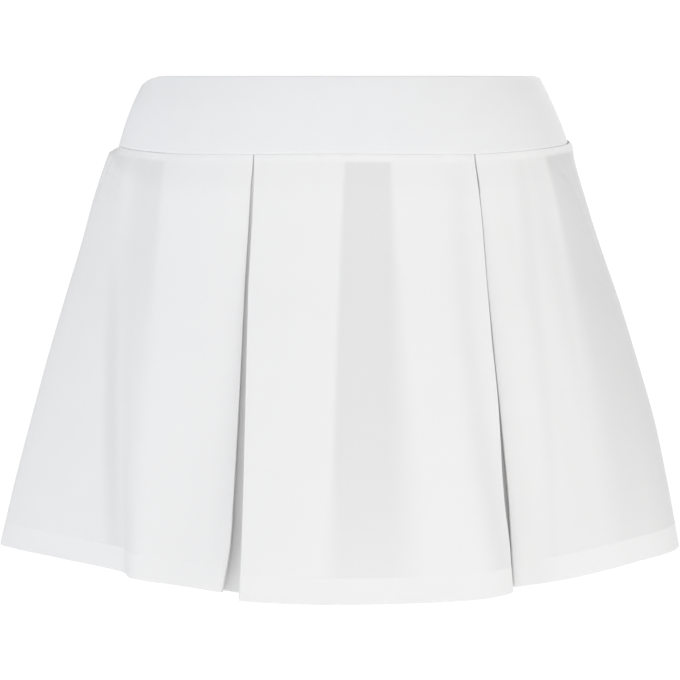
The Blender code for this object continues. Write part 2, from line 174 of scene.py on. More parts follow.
disc = bmesh.new()
bmesh.ops.create_circle(disc, cap_ends=True, segments=FLOOR_SEGMENTS, radius=FLOOR_RADIUS)
bmesh.ops.translate(disc, verts=disc.verts[:], vec=(0.0, 0.0, -FLOOR_DROP))
floor = made_of("floor", disc)
floor_finish = Finish(bpy.data.materials.new("floor_pale"))
where = floor_finish.node("ShaderNodeTexCoord", {}, {}, "Object")
far = floor_finish.node("ShaderNodeVectorMath", {"operation": "LENGTH"}, {0: where}, "Value")
fade = floor_finish.node(
    "ShaderNodeMapRange",
    {"interpolation_type": "SMOOTHERSTEP"},
    {"Value": far, "From Min": FLOOR_DROP, "From Max": math.hypot(FLOOR_DROP, FLOOR_RADIUS)},
)
matt = floor_finish.node("ShaderNodeBsdfDiffuse", {}, {"Color": FLOOR_COLOUR})
paint = floor_finish.node("ShaderNodeMixShader", {}, {0: fade, 1: matt, 2: glow(floor_finish)})
under = floor_finish.node("ShaderNodeNewGeometry", {}, {}, "Backfacing")
clear = floor_finish.node("ShaderNodeBsdfTransparent")
both = floor_finish.node("ShaderNodeMixShader", {}, {0: under, 1: paint, 2: clear})
floor_finish.node("ShaderNodeOutputMaterial", {}, {"Surface": both})
floor.data.materials.append(floor_finish.owner)

# ---------------------------------------------------------------------------------------
# The waistband: a wide band of two layers of smooth stretch knit, folded over along its
# top edge and joined in a ring by a seam at each side. The skirt is sewn to its lower edge.

# Sizes are in millimetres. Drops are measured down from the band's highest point, angles
# run round from the front (-Y) towards +X, and outs are proud of the smooth section. The
# side seams lie evenly to both sides of FRONT_TURN.
MM = 0.001
BAND_TOP_HEIGHT = 26.0
BAND_HEIGHT = 46.0
BAND_WALL = 1.9
SEAM_ROLL = 0.18
SEAM_ROLL_REACH = 1.2
THINNEST = 0.08
EDGE_TIP_SHARE = 0.08
CLOTH_STEP = 2.0
CUT_EDGE_STEPS = (0.07, 0.2, 0.45, 0.8)
FRONT_TURN = 6.0
LOOSE, SEWN = "loose", "sewn"

Section = namedtuple("Section", "drop left right front back")
BAND_SECTIONS = (
    Section(0, 133.4, 134.0, 97.0, 101.0),
    Section(3, 134.7, 134.9, 98.2, 102.4),
    Section(8, 137.2, 137.6, 100.0, 104.4),
    Section(18, 142.1, 142.4, 103.4, 108.0),
    Section(31, 147.2, 148.1, 107.4, 112.4),
    Section(40, 150.1, 151.5, 110.0, 115.4),
    Section(50, 153.0, 155.0, 112.6, 118.4),
    Section(64, 157.0, 158.5, 116.0, 122.5),
)
Level = namedtuple("Level", "angle drop")
BAND_TOP = (
    Level(-180, 15.0),
    Level(-135, 13.8),
    Level(-110, 12.4),
    Level(-98, 10.6),
    Level(-90, 8.1),
    Level(-82, 5.0),
    Level(-75, 2.4),
    Level(-66, 0.3),
    Level(-58, 0.0),
    Level(72, 0.0),
    Level(82, 1.0),
    Level(96, 2.2),
    Level(112, 5.0),
    Level(140, 11.0),
    Level(180, 15.0),
)
WAIST_SEAM = (
    Level(-180, 63.0),
    Level(-168, 62.7),
    Level(-130, 59.0),
    Level(-100, 51.0),
    Level(-84, 47.6),
    Level(-66, 49.1),
    Level(-42, 51.0),
    Level(-25, 50.8),
    Level(0, 50.0),
    Level(28, 50.8),
    Level(42, 50.1),
    Level(63, 47.6),
    Level(84, 45.4),
    Level(92, 43.8),
    Level(100, 42.2),
    Level(112, 45.2),
    Level(126, 51.4),
    Level(142, 57.2),
    Level(166, 62.3),
    Level(180, 63.0),
)
Seam = namedtuple("Seam", "drop angle")
SIDE_SEAMS = (
    Seam(0, 81.0),
    Seam(51, 82.0),
    Seam(108, 91.0),
    Seam(200, 95.0),
    Seam(336, 98.0),
)


def smooth(keys, values, at):
    """Values at places on the smooth curve through values that stand at rising keys."""
    keys, values = np.asarray(keys, float), np.asarray(values, float)
    at = np.clip(at, keys[0], keys[-1])
    low = np.clip(np.searchsorted(keys, at, side="right") - 1, 0, len(keys) - 2)
    ends = np.diff(values) / np.diff(keys)
    middle = (values[2:] - values[:-2]) / (keys[2:] - keys[:-2])
    slopes = np.concatenate((ends[:1], middle, ends[-1:]))
    step = keys[low + 1] - keys[low]
    part = (at - keys[low]) / step
    back = 1.0 - part
    return (
        values[low] * back * back * (1.0 + 2.0 * part)
        + values[low + 1] * part * part * (3.0 - 2.0 * part)
        + step * part * back * (slopes[low] * back - slopes[low + 1] * part)
    )


def read(table, at, column):
    """Values of one column of a table at places between its rows."""
    return smooth([row[0] for row in table], [getattr(row, column) for row in table], at)


def mix(low, high, share):
    """Straight-line value between two values."""
    return low + (high - low) * share


def ease(share):
    """Smooth step from 0 to 1."""
    share = np.clip(share, 0.0, 1.0)
    return share * share * (3.0 - 2.0 * share)


def wrapped(angle):
    """The same angles between -180 and 180 degrees."""
    return (np.asarray(angle, float) + 180.0) % 360.0 - 180.0


def section_at(sections, angle, drop):
    """Plan points on the smooth section and the directions straight out from it."""
    angle = wrapped(angle)
    turn = np.radians(angle)
    across = np.where(angle < 0.0, read(sections, drop, "left"), read(sections, drop, "right"))
    nearer = np.abs(angle) < 90.0
    deep = np.where(nearer, read(sections, drop, "front"), read(sections, drop, "back"))
    place = np.stack((across * np.sin(turn), -deep * np.cos(turn)), -1)
    out = np.stack((np.sin(turn) / across, -np.cos(turn) / deep), -1)
    return place, out / np.linalg.norm(out, axis=-1, keepdims=True)


def spot(angle, drop, out, sections):
    """Plan points that stand proud of the section by out."""
    place, outward = section_at(sections, angle, drop)
    return place + outward * np.asarray(out)[..., None]


def standing(place, drop):
    """Points in space, from plan points and their drops."""
    return np.column_stack((place, BAND_TOP_HEIGHT - drop))


def pace(sections, angle, drop):
    """Millimetres along the section for one degree of angle."""
    ends = spot(np.array((angle - 0.5, angle + 0.5)), drop, 0.0, sections)
    return np.linalg.norm(ends[1] - ends[0])


def side_seam(drop, side):
    """Angle of a side seam at a drop; side is -1 for the viewer's left and 1 for the right."""
    return side * read(SIDE_SEAMS, drop, "angle") + FRONT_TURN


def spaced(length, cut_start, cut_end):
    """Shares of the way along a piece: even steps, and closer ones near its cut edges."""
    edge = np.array(CUT_EDGE_STEPS) / length
    shares = [np.linspace(0.0, 1.0, round(length / CLOTH_STEP) + 1)]
    shares += [edge] * cut_start + [1.0 - edge] * cut_end
    return np.unique(np.concatenate(shares))


def steps_along(points, axis):
    """Distances from the first point to each one along an axis of a grid of points."""
    gaps = np.linalg.norm(np.diff(points, axis=axis), axis=-1)
    start = np.zeros_like(np.take(gaps, [0], axis))
    return np.cumsum(np.concatenate((start, gaps), axis), axis)


def headings(points, axis):
    """Directions along an axis of a grid, each the mean of the ways before and after."""
    gaps = np.diff(points, axis=axis)
    gaps /= np.linalg.norm(gaps, axis=-1, keepdims=True)
    first, last = np.take(gaps, [0], axis), np.take(gaps, [-1], axis)
    both = np.concatenate((first, gaps), axis) + np.concatenate((gaps, last), axis)
    return both / np.linalg.norm(both, axis=-1, keepdims=True)


def rounding(distance, radius):
    """Height of a quarter round, from 0 at its tip to 1 where it meets the flat."""
    reach = np.clip(distance / radius, 0.0, 1.0)
    return np.sqrt(1.0 - (1.0 - reach) ** 2)


def sew(name, points, right, wrong, borders, painted_layer_shade, finish):
    """Makes a closed wall of cloth on a grid of middle points, its top row first. Its right
    and wrong faces stand off the middle by right and wrong. Of its borders, at the top, the
    bottom, the start and the end, a loose one is rounded off and a sewn one rolls in."""
    rows, columns = points.shape[:2]
    along, down = steps_along(points, 1), steps_along(points, 0)
    normal = np.cross(headings(points, 1), -headings(points, 0))
    normal /= np.linalg.norm(normal, axis=-1, keepdims=True)
    middle, half = (right - wrong) / 2.0, (right + wrong) / 2.0
    shape, roll = 1.0, 0.0
    for border, inset in zip(borders, (down, down[-1] - down, along, along[:, -1:] - along)):
        if border == LOOSE:
            shape = shape * np.maximum(rounding(inset, half), EDGE_TIP_SHARE)
        else:
            roll = roll + SEAM_ROLL * (1.0 - ease(inset / SEAM_ROLL_REACH))
    inner = middle - half * shape
    outer = np.maximum(middle + half * shape - roll, inner + THINNEST)
    faces = [points + normal * face[..., None] for face in (outer, inner)]

    cloth = bmesh.new()
    bmesh.ops.create_grid(cloth, x_segments=columns - 1, y_segments=rows - 1, size=1.0)
    copied = bmesh.ops.extrude_face_region(cloth, geom=cloth.faces[:], use_keep_orig=True)
    wrong_face = [item for item in copied["geom"] if isinstance(item, bmesh.types.BMVert)]
    bmesh.ops.translate(cloth, verts=wrong_face, vec=(0.0, 0.0, -1.0))
    bmesh.ops.recalc_face_normals(cloth, faces=cloth.faces[:])
    piece = made_of(name, cloth)
    mesh = piece.data

    # Each corner of the flat block goes to its own place on the right or the wrong face.
    grid = np.empty(len(mesh.vertices) * 3, np.float32)
    mesh.vertices.foreach_get("co", grid)
    grid = grid.reshape(-1, 3)
    column = np.rint((grid[:, 0] + 1.0) / 2.0 * (columns - 1)).astype(int)
    row = np.rint((1.0 - grid[:, 1]) / 2.0 * (rows - 1)).astype(int)
    face = np.rint(-grid[:, 2]).astype(int)
    placed = np.stack(faces)[face, row, column] * MM
    mesh.vertices.foreach_set("co", placed.astype(np.float32).ravel())

    # The cloth's own map is its size along the surface, in metres.
    corner = np.empty(len(mesh.loops), np.int32)
    mesh.loops.foreach_get("vertex_index", corner)
    across = along - along[:, columns // 2 : columns // 2 + 1]
    flat = np.stack((across, -down), -1)[row, column] * MM
    mesh.uv_layers.new(name="cloth").data.foreach_set("uv", flat[corner].astype(np.float32).ravel())
    # Painted light and shade of the cloth's layers, kept on its points.
    marks = mesh.attributes.new("painted_layer_shade", "FLOAT", "POINT")
    marks.data.foreach_set("value", painted_layer_shade[row, column].astype(np.float32))
    mesh.update()
    mesh.shade_smooth()
    mesh.materials.append(finish)
    return piece


# What a cloth looks like: its yarns across and down and its uneven patches, as so many to
# the metre, its darker and its lighter tone, and how strong and how deep its relief is.
Look = namedtuple("Look", "name yarns patches dark light relief depth roughness gloss")
PATCH_DETAIL = 3.0
NAP = 0.1
NAP_ROUGHNESS = 0.5
KNIT = Look(
    name="band_knit",
    yarns=(2000.0, 1250.0, 0.0),
    patches=45.0,
    dark=(0.859, 0.859, 0.865, 1.0),
    light=(0.887, 0.887, 0.893, 1.0),
    relief=0.25,
    depth=0.00012,
    roughness=0.72,
    gloss=0.3,
)
STITCH_COLUMN_HEIGHT = 0.5
STITCH_ROW_HEIGHT = 0.25
KNIT_PATCH_HEIGHT = 0.6


def cloth_pattern(look):
    """A new finish, with the waves of its yarns across and down and its uneven patches."""
    finish = Finish(bpy.data.materials.new(look.name))
    cloth = finish.node("ShaderNodeUVMap", {"uv_map": "cloth"})
    yarns = finish.node("ShaderNodeVectorMath", {"operation": "MULTIPLY"}, {0: cloth, 1: look.yarns})
    across, down = (finish.node("ShaderNodeSeparateXYZ", {}, {0: yarns}, axis) for axis in "XY")
    patches = finish.node(
        "ShaderNodeTexNoise", {}, {"Vector": cloth, "Scale": look.patches, "Detail": PATCH_DETAIL}
    )
    return finish, across.wave(), down.wave(), patches


def cloth_surface(look, finish, lightness, height):
    """Completes a cloth's finish: tones by lightness, and relief by height."""
    colour = finish.node(
        "ShaderNodeMix", {"data_type": "RGBA"}, {0: lightness, 6: look.dark, 7: look.light}, 2
    )
    relief = finish.node(
        "ShaderNodeBump", {}, {"Height": height, "Strength": look.relief, "Distance": look.depth}
    )
    surface = finish.node(
        "ShaderNodeBsdfPrincipled",
        {},
        {
            "Base Color": colour,
            "Roughness": look.roughness,
            "Specular IOR Level": look.gloss,
            "Sheen Weight": NAP,
            "Sheen Roughness": NAP_ROUGHNESS,
            "Normal": relief,
        },
    )
    finish.node("ShaderNodeOutputMaterial", {}, {"Surface": surface})
    return finish.owner


def knit_finish():
    """Smooth double knit: columns of fine stitches that stand a little proud."""
    finish, columns, rows, patches = cloth_pattern(KNIT)
    stitches = columns * STITCH_COLUMN_HEIGHT + rows * STITCH_ROW_HEIGHT
    return cloth_surface(KNIT, finish, patches, stitches + patches * KNIT_PATCH_HEIGHT)


def band_piece(name, first, last, finish):
    """One half of the waistband, between two side seams."""
    shares = spaced(BAND_HEIGHT, True, True)
    width = abs(last - first) * pace(BAND_SECTIONS, mix(first, last, 0.5), BAND_TOP_HEIGHT)
    angles = mix(first, last, spaced(width, True, True))
    top, seam = (read(table, wrapped(angles), "drop") for table in (BAND_TOP, WAIST_SEAM))
    drops = [mix(top, seam, share) for share in shares]
    out = -BAND_WALL / 2.0
    points = np.array([standing(spot(angles, drop, out, BAND_SECTIONS), drop) for drop in drops])
    wall = np.full(points.shape[:2], BAND_WALL / 2.0)
    borders = (LOOSE, SEWN, SEWN, SEWN)
    piece = sew(name + "_cloth", points, wall, wall, borders, np.ones(points.shape[:2]), finish)
    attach(piece, "root")
    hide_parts(name)
    return piece


band_knit = knit_finish()
seam_left, seam_right = side_seam(BAND_TOP_HEIGHT, -1), side_seam(BAND_TOP_HEIGHT, 1)
band_front = band_piece("waistband_front", seam_left, seam_right, band_knit)
band_back = band_piece("waistband_back", seam_right, seam_left + 360.0, band_knit)

# ---------------------------------------------------------------------------------------
# The centre front panel: one piece of light woven sports cloth, sewn to the waistband. At
# each side it turns back on a pressed edge and runs on behind its own face, as one side of
# a box pleat. Its hem is turned up on the inside.
CLOTH = 0.5
SKIRT_LENGTH = 285.0
HEM_WIDTH_SHARE = 0.06
HEM_TURN_UP = 0.45
HEM_LIFT = 0.1
HEM_STEP = (-0.7, -0.2, 0.2, 0.7)
SIDE_ALLOWANCE = 9.0
SIDE_ALLOWANCE_BLUR = 1.0
SIDE_SEAM_DIP = 1.1
SIDE_SEAM_DIP_WIDTH = 1.6
FAR_OFF = 1000.0
SKIRT_SECTIONS = (
    Section(41, 153.6, 154.2, 112.5, 115.4),
    Section(46, 155.8, 155.5, 113.4, 117.0),
    Section(57, 160.6, 157.8, 115.3, 121.0),
    Section(84, 169.8, 165.8, 119.5, 130.0),
    Section(112, 177.6, 174.7, 123.0, 138.0),
    Section(152, 190.0, 188.8, 126.0, 147.0),
    Section(194, 202.5, 202.0, 128.0, 154.0),
    Section(235, 213.9, 213.9, 129.5, 160.0),
    Section(277, 225.2, 223.0, 131.0, 166.0),
    Section(305, 232.1, 228.3, 131.7, 170.0),
    Section(337, 239.5, 233.9, 132.0, 174.0),
)
HEM = (
    Level(-180, 329.0),
    Level(-130, 325.0),
    Level(-82, 320.5),
    Level(-66, 320.9),
    Level(-52, 322.3),
    Level(-44, 323.8),
    Level(-37, 325.8),
    Level(-30, 328.4),
    Level(-22, 331.6),
    Level(-13, 335.0),
    Level(7, 337.6),
    Level(27, 334.9),
    Level(37, 331.6),
    Level(45, 328.4),
    Level(52, 325.8),
    Level(59, 323.8),
    Level(67, 322.3),
    Level(82, 320.8),
    Level(98, 320.5),
    Level(140, 325.0),
    Level(180, 329.0),
)
# The sideways places of the pleats' pressed edges in front, and of the folds behind them.
PleatEdges = namedtuple("PleatEdges", "drop left_side left_centre right_centre right_side")
PLEAT_EDGES = (
    PleatEdges(51, -58.2, -57.9, 86.5, 86.8),
    PleatEdges(58, -58.5, -57.8, 87.0, 87.45),
    PleatEdges(70, -59.3, -57.5, 88.1, 88.7),
    PleatEdges(80, -59.7, -57.9, 89.2, 89.25),
    PleatEdges(95, -60.4, -58.6, 90.7, 90.74),
    PleatEdges(130, -62.6, -60.6, 93.3, 93.34),
    PleatEdges(140, -63.1, -61.0, 94.2, 94.25),
    PleatEdges(155, -63.9, -61.3, 95.5, 95.8),
    PleatEdges(170, -64.6, -61.7, 96.8, 97.25),
    PleatEdges(211, -66.7, -62.6, 101.0, 101.7),
    PleatEdges(270, -70.2, -64.0, 104.8, 107.8),
    PleatEdges(306, -72.9, -65.2, 109.3, 110.4),
    PleatEdges(336, -78.6, -66.7, 111.9, 112.6),
)
InnerFolds = namedtuple("InnerFolds", "drop left_outer left_inner right_inner right_outer")
INNER_FOLDS = (
    InnerFolds(51, -116.5, 1.6, 33.6, 133.0),
    InnerFolds(95, -120.0, -0.5, 35.0, 143.0),
    InnerFolds(170, -126.0, -3.5, 38.0, 156.0),
    InnerFolds(235, -131.0, -5.5, 40.5, 166.0),
    InnerFolds(336, -134.5, -8.0, 43.0, 176.0),
)
# The soft folds of a panel: where one lies across it at its top and its hem, and how far it
# stands out at half height and at the hem. A pleat's return ends behind them.
Fold = namedtuple("Fold", "top_across hem_across half_out hem_out")
CENTRE_FOLDS = (
    Fold(0.00, 0.00, 7.6, 22.4),
    Fold(0.20, 0.20, 7.6, 19.8),
    Fold(0.36, 0.36, 7.0, 15.8),
    Fold(0.50, 0.50, 6.0, 12.0),
    Fold(0.65, 0.65, 5.8, 12.2),
    Fold(0.78, 0.78, 5.8, 13.0),
    Fold(0.86, 0.85, 5.6, 12.6),
    Fold(0.92, 0.91, 5.2, 10.4),
    Fold(0.96, 0.955, 4.7, 6.8),
    Fold(1.00, 1.00, 4.0, 1.5),
)
ReturnEnd = namedtuple("ReturnEnd", "half_out hem_out")
LEFT_CENTRE_RETURN = ReturnEnd(2.9, 10.2)
RIGHT_CENTRE_RETURN = ReturnEnd(0.1, -3.1)
LAYER = 0.8
LAYER_AT_HEM = 1.7
FOLD_SWING = 176.0
FOLD_STEPS = 10
RETURN_STEPS = 30
FACE_WIDTH = 160.0
# How often a place is worked out afresh, each time from the last result.
ROUNDS = 4
RETURN_ROUNDS = 5
# At the waist the skirt is set in to the band and rounds out over a shoulder. Its gathers
# are waves round it that sway from even, start below the seam and fade further down.
SEAM_TUCK = 0.05
FRONT_SHOULDER = 26.0
SIDE_SHOULDER = 3.5
SHOULDER_POWER = 8
Gathers = namedtuple("Gathers", "waves sway sways sway_start height start fade")
PUCKERS = Gathers(47.0, 2.1, 5.0, 0.0, 0.3, 3.0, 12.0)
FINE_PUCKERS = Gathers(97.0, 3.0, 9.0, 0.0, 0.2, 2.0, 14.0)
RIPPLES = Gathers(21.0, 1.7, 3.0, 1.0, 0.5, 6.0, 60.0)
PUCKER_LEVEL = 0.6
PUCKER_SWELL = 0.4
PUCKER_SWELLS = 11.0
PUCKER_SWELL_START = 2.0
BULGE_ANGLE = 88.0
BULGE_HEIGHT = 2.2
BULGE_WIDTH = 6.0
BULGE_LENGTH = 5.0
# Creases that the cloth falls into: ridges, or troughs where the height is negative, with
# a width in degrees on either side.
Crease = namedtuple("Crease", "drop angle height before after")
CREASES = (
    (
        Crease(52, 70.0, 0.0, 7.0, 3.0),
        Crease(62, 69.0, 0.9, 8.0, 3.0),
        Crease(72, 70.0, 2.0, 8.0, 3.0),
        Crease(84, 70.6, 2.6, 9.0, 3.0),
        Crease(105, 72.3, 2.6, 9.0, 3.0),
        Crease(120, 73.6, 2.0, 9.0, 3.5),
        Crease(132, 76.5, 1.2, 9.0, 4.0),
        Crease(150, 79.0, 0.0, 9.0, 5.0),
    ),
    (
        Crease(58, 63.5, 0.0, 2.0, 2.0),
        Crease(64, 66.5, -0.7, 2.0, 1.6),
        Crease(71, 70.5, -0.9, 2.0, 1.6),
        Crease(78, 72.5, 0.0, 2.0, 2.0),
    ),
    (
        Crease(95, -53.0, 0.0, 2.6, 3.2),
        Crease(145, -49.0, -0.5, 2.6, 3.2),
        Crease(195, -45.5, -1.0, 2.5, 3.0),
        Crease(255, -41.8, -1.2, 2.4, 3.0),
        Crease(330, -38.5, -1.0, 2.2, 3.0),
    ),
    (
        Crease(55, 40.0, 0.0, 3.5, 3.5),
        Crease(100, 41.0, -1.1, 3.5, 3.5),
        Crease(180, 43.5, -1.3, 4.0, 3.5),
        Crease(260, 46.5, -1.2, 4.5, 3.0),
        Crease(330, 49.0, 0.0, 4.5, 3.0),
    ),
    (
        Crease(55, 57.0, 0.0, 3.5, 3.5),
        Crease(110, 55.5, -1.3, 3.5, 4.0),
        Crease(190, 53.0, -1.4, 4.0, 4.0),
        Crease(270, 51.0, -1.2, 4.0, 4.0),
        Crease(320, 50.0, -0.4, 4.0, 4.0),
    ),
    (
        Crease(66, 146.0, 0.0, 4.0, 2.0),
        Crease(86, 148.0, 1.9, 5.0, 2.4),
        Crease(125, 152.0, 2.1, 6.0, 3.0),
        Crease(175, 155.0, 1.1, 7.0, 4.0),
        Crease(230, 157.0, 0.0, 8.0, 5.0),
    ),
    (
        Crease(64, -138.0, 0.0, 2.0, 4.0),
        Crease(84, -140.0, 1.5, 2.2, 5.0),
        Crease(118, -143.0, 1.7, 3.0, 6.0),
        Crease(165, -147.0, 0.8, 4.0, 7.0),
        Crease(220, -150.0, 0.0, 5.0, 8.0),
    ),
    (
        Crease(120, 178.0, 0.0, 3.0, 4.5),
        Crease(170, 177.0, -1.4, 3.0, 4.5),
        Crease(230, 175.0, -1.9, 3.0, 4.5),
        Crease(330, 172.0, -0.8, 3.0, 4.5),
    ),
    (
        Crease(150, 127.0, 0.0, 3.5, 2.5),
        Crease(210, 128.0, 1.4, 4.0, 2.5),
        Crease(270, 129.0, 1.6, 4.0, 3.0),
        Crease(330, 130.0, 0.6, 4.0, 3.0),
    ),
    (
        Crease(140, -118.0, 0.0, 3.0, 4.0),
        Crease(200, -120.0, -1.3, 3.0, 4.5),
        Crease(265, -122.0, -1.7, 3.0, 4.5),
        Crease(330, -124.0, -0.6, 3.5, 4.5),
    ),
)


def opening(top, half, hem, share):
    """Value down the skirt that runs smoothly through its top, half-height and hem values."""
    bend = 2.0 * (top + hem - 2.0 * half)
    return top + (hem - top - bend) * share + bend * share * share


def drop_at(angle, share):
    """Drop of a point of the skirt, by its share of the way from the waist seam to the hem."""
    angle = wrapped(angle)
    return mix(read(WAIST_SEAM, angle, "drop"), read(HEM, angle, "drop"), share)


def bell(distance, width):
    """1 on a line, falling away evenly to nothing on both sides of it."""
    return np.exp(-((distance / width) ** 2))


def creased(angle, drop):
    """How far the creases lift the cloth."""
    lift = 0.0
    for crease in CREASES:
        aside = wrapped(angle - read(crease, drop, "angle"))
        width = np.where(aside < 0.0, read(crease, drop, "before"), read(crease, drop, "after"))
        lift = lift + read(crease, drop, "height") * bell(aside, width)
    return lift


def gathered(gathers, turn, below):
    """How far one kind of gathers lifts the cloth."""
    sway = gathers.sway * np.sin(gathers.sways * turn + gathers.sway_start)
    wave = gathers.height * np.sin(gathers.waves * turn + sway)
    return wave * ease(below / gathers.start) * np.exp(-below / gathers.fade)


def drape(angle, drop):
    """How far the whole skirt lies out of its section: it is set in to the band at the
    waist, puckered by its gathering there and rippled at the sides. It bulges a little on
    the right, and it is creased."""
    seam = read(WAIST_SEAM, wrapped(angle), "drop")
    below = drop - seam
    turn = np.radians(wrapped(angle))
    (skirt, outward), (band, _) = (
        section_at(sections, angle, seam) for sections in (SKIRT_SECTIONS, BAND_SECTIONS)
    )
    set_in = np.sum((skirt - band) * outward, -1) + SEAM_TUCK
    shoulder = mix(FRONT_SHOULDER, SIDE_SHOULDER, np.sin(turn) ** SHOULDER_POWER)
    swell = PUCKER_LEVEL + PUCKER_SWELL * np.sin(PUCKER_SWELLS * turn + PUCKER_SWELL_START)
    bulge = BULGE_HEIGHT * bell(wrapped(angle - BULGE_ANGLE), BULGE_WIDTH)
    return (
        gathered(PUCKERS, turn, below) * swell
        + gathered(FINE_PUCKERS, turn, below)
        + gathered(RIPPLES, turn, below) * np.sin(turn) ** 2
        - set_in * (1.0 - ease(below / shoulder))
        + bulge * np.exp(-below / BULGE_LENGTH)
        + creased(angle, drop)
    )


def hung(angle, out, share):
    """Points in space of cloth at angles and outs, at one share of the way down."""
    drop = drop_at(angle, share)
    return standing(spot(angle, drop, out + drape(angle, drop), SKIRT_SECTIONS), drop)


def angle_at(sideways, drop, out):
    """Angle of the front point that lies at a sideways place and stands proud by out."""
    half = read(SKIRT_SECTIONS, drop, "left" if sideways < 0.0 else "right")
    angle = math.degrees(math.asin(sideways / half))
    for _ in range(ROUNDS):
        _, outward = section_at(SKIRT_SECTIONS, angle, drop)
        angle = math.degrees(math.asin((sideways - outward[0] * out) / half))
    return angle


def layer_distance(share):
    """Distance between the middles of two layers that are pressed wrong side to wrong side."""
    start = 1.0 - 2.0 * HEM_WIDTH_SHARE
    return mix(LAYER, LAYER_AT_HEM, ease((share - start) / (1.0 - HEM_WIDTH_SHARE - start)))


def face_line(folds, first, last, share, shares):
    """Angles and outs of the middle of a face's cloth, from its first angle to its last."""
    top, hem = [fold.top_across for fold in folds], [fold.hem_across for fold in folds]
    now = mix(np.array(top), np.array(hem), share)
    outs = [opening(0.0, fold.half_out, fold.hem_out, share) for fold in folds]
    at = np.interp(shares, hem, now)
    return mix(first, last, at), smooth(now, outs, at) - CLOTH / 2.0


def pressed_fold(end, before, share, side):
    """Round points of a pressed edge that goes on from a face's end and turns back inwards."""
    heading = (end - before)[:2] / np.linalg.norm((end - before)[:2])
    inward = np.array((-heading[1], heading[0])) * side
    radius = layer_distance(share) / 2.0
    swing = np.radians(FOLD_SWING) * np.arange(1, FOLD_STEPS + 1)[:, None] / FOLD_STEPS
    place = end[:2] + heading * radius * np.sin(swing) + inward * radius * (1.0 - np.cos(swing))
    return np.column_stack((place, np.full(FOLD_STEPS, end[2])))


def return_line(start, share, inner_sideways, ending):
    """Points of a pleat return, from the pressed fold to its inner end behind the face."""
    drop, first_out = BAND_TOP_HEIGHT - start[2], 0.0
    for _ in range(RETURN_ROUNDS):
        first_angle = angle_at(start[0], drop, first_out)
        place, outward = section_at(SKIRT_SECTIONS, first_angle, drop)
        first_out = np.dot(start[:2] - place, outward)
    first_out -= drape(first_angle, drop)
    last_out = opening(-CLOTH / 2.0 - LAYER, ending.half_out, ending.hem_out, share)
    last_angle = angle_at(inner_sideways, drop, last_out)
    at = np.arange(1, RETURN_STEPS + 1) / RETURN_STEPS
    return hung(mix(first_angle, last_angle, at), mix(first_out, last_out, at), share)


def edge_angle(column, share, edge):
    """Angle where a face stops, so that its pressed edge reaches the tabled place."""
    angle = FRONT_TURN
    out = opening(0.0, edge.half_out, edge.hem_out, share)
    reach = layer_distance(share) / 2.0 + CLOTH / 2.0
    for _ in range(ROUNDS):
        drop = drop_at(angle, share)
        sideways = read(PLEAT_EDGES, drop, column)
        toward_face = 1.0 if column in ("left_centre", "right_side") else -1.0
        angle = angle_at(sideways + toward_face * reach, drop, out)
    return angle


def fold_place(column, share):
    """Sideways place of an inner fold at one share of the way down."""
    return read(INNER_FOLDS, drop_at(FRONT_TURN, share), column)


# How strongly the painted shade of cloth in one layer shows, down a panel, and how soft its borders
# are.
Lone = namedtuple("Lone", "share strength start_blur end_blur")
CENTRE_LONE = (
    Lone(0.00, 0.84, 2.5, 3.0),
    Lone(0.25, 0.84, 3.0, 10.0),
    Lone(0.60, 0.80, 4.5, 24.0),
    Lone(0.72, 0.70, 7.0, 26.0),
    Lone(0.92, 0.42, 20.0, 30.0),
    Lone(1.00, 0.30, 24.0, 30.0),
)
CENTRE_LONE_NARROWING = 3.0


def past(distance, blur):
    """0 before a line and 1 past it, with a change as wide as blur across the line."""
    return ease(distance / blur + 0.5)


def single(lone, points, start, end, share):
    """How much painted shade the cloth gets as one layer, by its sideways places: 0 where a second
    layer of the pleat lies close behind the face, and most between two places where none does.
    The borders soften further down, where the layers hang apart."""
    strength = read(lone, share, "strength")
    after = past(points[:, 0] - start, read(lone, share, "start_blur"))
    before = past(end - points[:, 0], read(lone, share, "end_blur"))
    return strength * after * before


# A soft strip of painted tone at a sideways place down a panel: painted shade where it is added,
# painted light where it is taken off.
PaintedStrip = namedtuple("PaintedStrip", "share sideways strength blur")
# Painted shade of a soft fold down the right part of the centre panel.
CENTRE_PAINTED_SHADE_STRIP = (
    PaintedStrip(0.00, 73.0, 0.05, 6.0),
    PaintedStrip(0.07, 75.0, 0.20, 6.5),
    PaintedStrip(0.26, 77.0, 0.34, 7.0),
    PaintedStrip(0.47, 82.6, 0.42, 7.0),
    PaintedStrip(0.69, 91.0, 0.50, 8.0),
    PaintedStrip(0.90, 102.0, 0.50, 8.0),
    PaintedStrip(1.00, 106.0, 0.35, 8.0),
)


def painted_strip(line, points, share):
    """A soft strip of painted tone down a panel, strongest at its middle."""
    aside = points[:, 0] - read(line, share, "sideways")
    return read(line, share, "strength") * bell(aside, read(line, share, "blur"))


# The weave's dark tone is that of painted shade on one lone layer, its light tone that of painted
# light on backed layers.
WEAVE = Look(
    name="skirt_weave",
    yarns=(2600.0, 2600.0, 0.0),
    patches=38.0,
    dark=(0.748, 0.745, 0.745, 1.0),
    light=(0.893, 0.889, 0.887, 1.0),
    relief=0.2,
    depth=0.0001,
    roughness=0.8,
    gloss=0.25,
)
THREAD_CROSSING_HEIGHT = 0.5
WEAVE_PATCH_HEIGHT = 0.8
BACKED_LIGHTNESS = 0.69
PATCH_LIGHTNESS = 0.08


def weave_finish():
    """Light plain weave with a soft nap. Its tone is painted shade and light: one lone layer is
    painted greyer, for the shade that would show through it, and a backed layer lighter."""
    finish, across, down, patches = cloth_pattern(WEAVE)
    painted_layer_shade = finish.node("ShaderNodeAttribute", {"attribute_name": "painted_layer_shade"}, {}, "Fac")
    lightness = painted_layer_shade * BACKED_LIGHTNESS + patches * PATCH_LIGHTNESS - PATCH_LIGHTNESS / 2.0
    height = across * down * THREAD_CROSSING_HEIGHT + patches * WEAVE_PATCH_HEIGHT
    return cloth_surface(WEAVE, finish, lightness, height)
